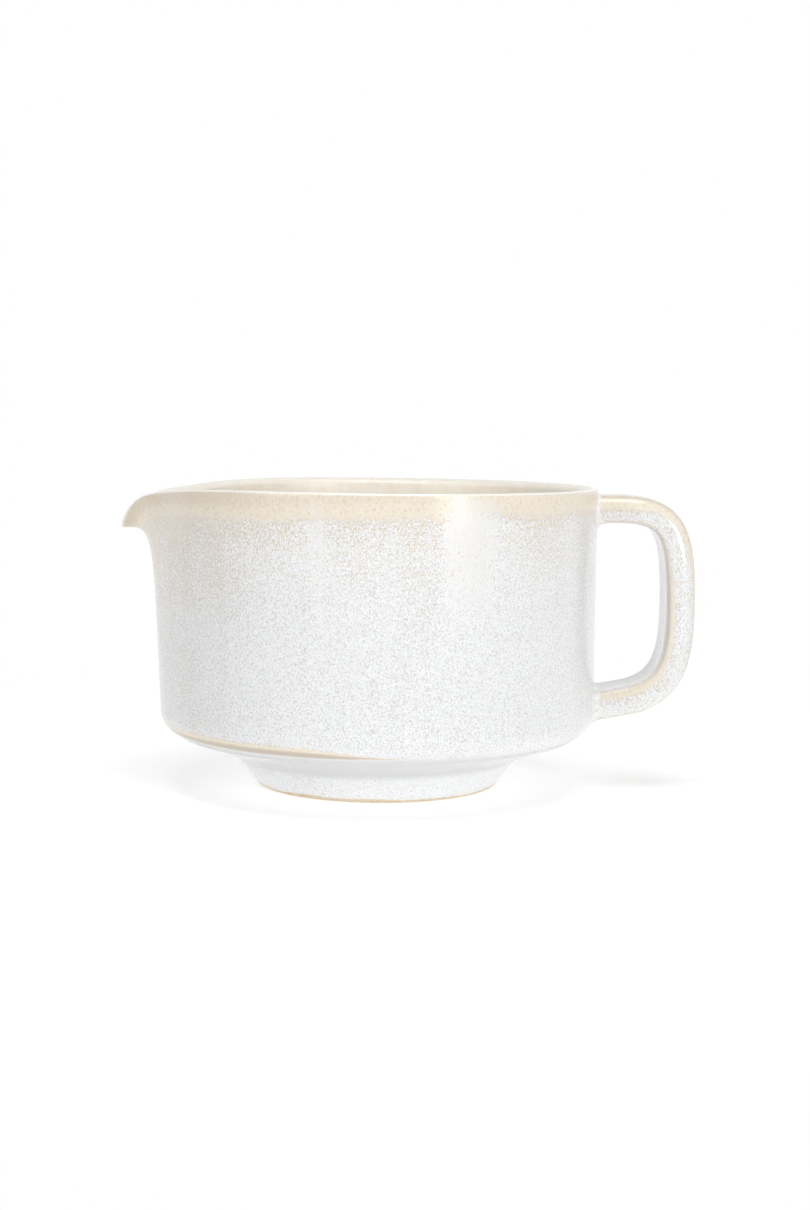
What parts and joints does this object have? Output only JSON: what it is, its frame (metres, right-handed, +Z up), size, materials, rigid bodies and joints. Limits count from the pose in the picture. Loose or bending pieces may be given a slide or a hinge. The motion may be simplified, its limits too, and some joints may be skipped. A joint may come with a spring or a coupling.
{
  "type": "spouted matcha bowl",
  "caption": "Cylindrical stoneware tea bowl with a soft shoulder, tapered foot ring, pulled pouring spout and opposite strap handle, for whisking and pouring matcha.",
  "frame": {"origin": "middle of the overall footprint, on the plane that the foot stands on", "axes": "+Z up, +X towards the handle, -X towards the spout"},
  "size_m": [0.1534, 0.1162, 0.08],
  "materials": {
    "glazed_clay": "glossy speckled white reactive glaze that breaks to beige at the rim and edges",
    "slip": "fired clay slip under the glaze"
  },
  "bodies": {
    "root": {"bowl_body": "glazed_clay", "pouring_spout": "glazed_clay", "spout_slip_joint": "slip", "foot_ring": "glazed_clay", "foot_slip_joint": "slip", "handle_strap": "glazed_clay", "handle_top_slip_joint": "slip", "handle_bottom_slip_joint": "slip"}
  },
  "joints": []
}
